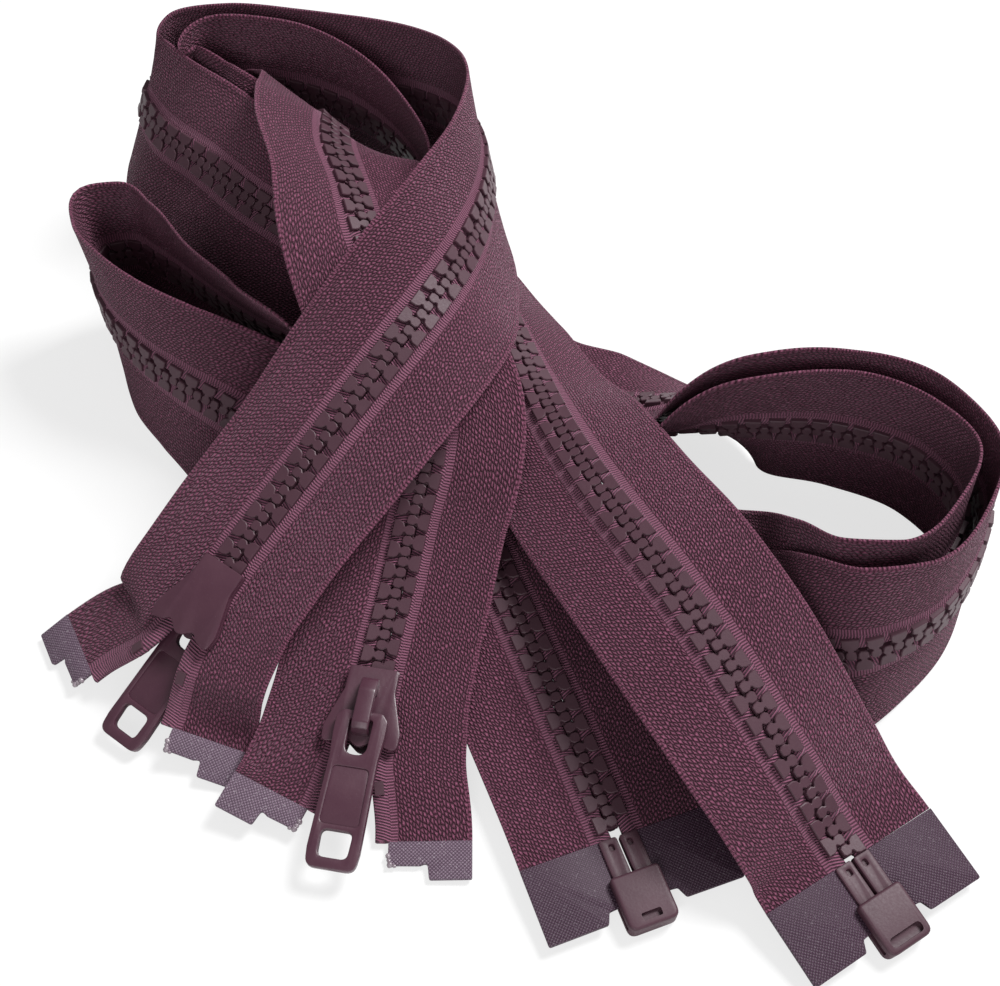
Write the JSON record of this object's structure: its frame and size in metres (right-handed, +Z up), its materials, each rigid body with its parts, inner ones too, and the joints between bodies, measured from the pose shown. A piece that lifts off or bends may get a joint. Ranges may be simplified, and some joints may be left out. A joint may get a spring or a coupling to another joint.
{
  "type": "pair of separating zippers with moulded teeth",
  "caption": "Two closed separating zippers with moulded plastic teeth, wound together in a loose double coil, with sliders and tape tails fanned out at the front.",
  "frame": {"origin": "on the surface the pair lies on, under the middle of the whole pile", "axes": "+Z up from the surface; the sliders, tails and boxes point towards -Y; the lone loop is at +X"},
  "size_m": [0.1644, 0.1849, 0.0543],
  "materials": {
    "tape": "woven, matt",
    "teeth": "moulded, satin",
    "slider": "satin enamel over zinc",
    "pull": "satin enamel over zinc",
    "box": "moulded, satin",
    "pin": "moulded, satin",
    "film": "heat-sealed film over the weave",
    "stop": "moulded, satin"
  },
  "bodies": {
    "base": {"zipper_1_tape_left_upper": "tape", "zipper_1_tape_left_coil": "tape", "zipper_1_tape_left_loop": "tape", "zipper_1_tape_left_lower": "tape", "zipper_1_tape_left_bottom": "tape", "zipper_1_teeth_left": "teeth", "zipper_1_bottom_film_left": "film", "zipper_1_tape_right_upper": "tape", "zipper_1_tape_right_coil": "tape", "zipper_1_tape_right_loop": "tape", "zipper_1_tape_right_lower": "tape", "zipper_1_tape_right_bottom": "tape", "zipper_1_teeth_right": "teeth", "zipper_1_bottom_film_right": "film", "zipper_1_box": "box", "zipper_1_box_pin": "pin", "zipper_1_insertion_pin": "pin", "zipper_2_tape_left_upper": "tape", "zipper_2_tape_left_coil": "tape", "zipper_2_tape_left_loop": "tape", "zipper_2_tape_left_lower": "tape", "zipper_2_tape_left_bottom": "tape", "zipper_2_teeth_left": "teeth", "zipper_2_bottom_film_left": "film", "zipper_2_tape_right_upper": "tape", "zipper_2_tape_right_coil": "tape", "zipper_2_tape_right_loop": "tape", "zipper_2_tape_right_lower": "tape", "zipper_2_tape_right_bottom": "tape", "zipper_2_teeth_right": "teeth", "zipper_2_bottom_film_right": "film", "zipper_2_box": "box", "zipper_2_box_pin": "pin", "zipper_2_insertion_pin": "pin"},
    "z1_slider": {"zipper_1_slider_body": "slider", "zipper_1_slider_bridge": "slider"},
    "z1_pull": {"zipper_1_pull_tab": "pull"},
    "z1_tail_left": {"zipper_1_left_tail": "tape", "zipper_1_left_tail_film": "film", "zipper_1_left_top_stop": "stop", "zipper_1_tape_left_top": "tape", "zipper_1_teeth_left_top": "teeth"},
    "z1_tail_right": {"zipper_1_right_tail": "tape", "zipper_1_right_tail_film": "film", "zipper_1_right_top_stop": "stop", "zipper_1_tape_right_top": "tape", "zipper_1_teeth_right_top": "teeth"},
    "z2_slider": {"zipper_2_slider_body": "slider", "zipper_2_slider_bridge": "slider"},
    "z2_pull": {"zipper_2_pull_tab": "pull"},
    "z2_tail_left": {"zipper_2_left_tail": "tape", "zipper_2_left_tail_film": "film", "zipper_2_left_top_stop": "stop", "zipper_2_tape_left_top": "tape", "zipper_2_teeth_left_top": "teeth"},
    "z2_tail_right": {"zipper_2_right_tail": "tape", "zipper_2_right_tail_film": "film", "zipper_2_right_top_stop": "stop", "zipper_2_tape_right_top": "tape", "zipper_2_teeth_right_top": "teeth"}
  },
  "joints": [
    {"name": "z1_slide", "type": "slide", "parent": "base", "child": "z1_slider", "axis": [0.5854, 0.6825, 0.4375], "range_m": [0, 0.032], "deforming": ["zipper_1_left_tail", "zipper_1_tape_left_top", "zipper_1_teeth_left_top", "zipper_1_right_tail", "zipper_1_tape_right_top", "zipper_1_teeth_right_top"]},
    {"name": "z1_pull_swing", "type": "hinge", "parent": "z1_slider", "child": "z1_pull", "pos_m": [-0.05118, -0.03384, 0.01136], "axis": [0.8065, -0.5904, -0.0314], "range_deg": [0, 25]},
    {"name": "z1_spread_left", "type": "hinge", "parent": "base", "child": "z1_tail_left", "pos_m": [-0.02343, -0.00136, 0.03473], "axis": [0.027, 0.4656, -0.8846], "range_deg": [0, 11.5]},
    {"name": "z1_spread_right", "type": "hinge", "parent": "base", "child": "z1_tail_right", "pos_m": [-0.02343, -0.00136, 0.03473], "axis": [-0.027, -0.4656, 0.8846], "range_deg": [0, 2.3]},
    {"name": "z2_slide", "type": "slide", "parent": "base", "child": "z2_slider", "axis": [0.1962, 0.9536, 0.2284], "range_m": [0, 0.022], "deforming": ["zipper_2_left_tail", "zipper_2_tape_left_top", "zipper_2_teeth_left_top", "zipper_2_right_tail", "zipper_2_tape_right_top", "zipper_2_teeth_right_top"]},
    {"name": "z2_pull_swing", "type": "hinge", "parent": "z2_slider", "child": "z2_pull", "pos_m": [-0.02384, -0.0518, 0.00926], "axis": [-0.9848, 0.1739, -0.0002], "range_deg": [0, 85]},
    {"name": "z2_spread_left", "type": "hinge", "parent": "base", "child": "z2_tail_left", "pos_m": [-0.01718, -0.01957, 0.01513], "axis": [0.1115, 0.4217, -0.8999], "range_deg": [0, 3.45]},
    {"name": "z2_spread_right", "type": "hinge", "parent": "base", "child": "z2_tail_right", "pos_m": [-0.01718, -0.01957, 0.01513], "axis": [-0.1115, -0.4217, 0.8999], "range_deg": [0, 2.3]}
  ],
  "couplings": [
    {"joint": "z1_spread_left", "follows": "z1_slide", "rad_per_m": 5.4536},
    {"joint": "z1_spread_right", "follows": "z1_slide", "rad_per_m": 1.0907},
    {"joint": "z2_spread_left", "follows": "z2_slide", "rad_per_m": 2.3798},
    {"joint": "z2_spread_right", "follows": "z2_slide", "rad_per_m": 1.5865}
  ]
}
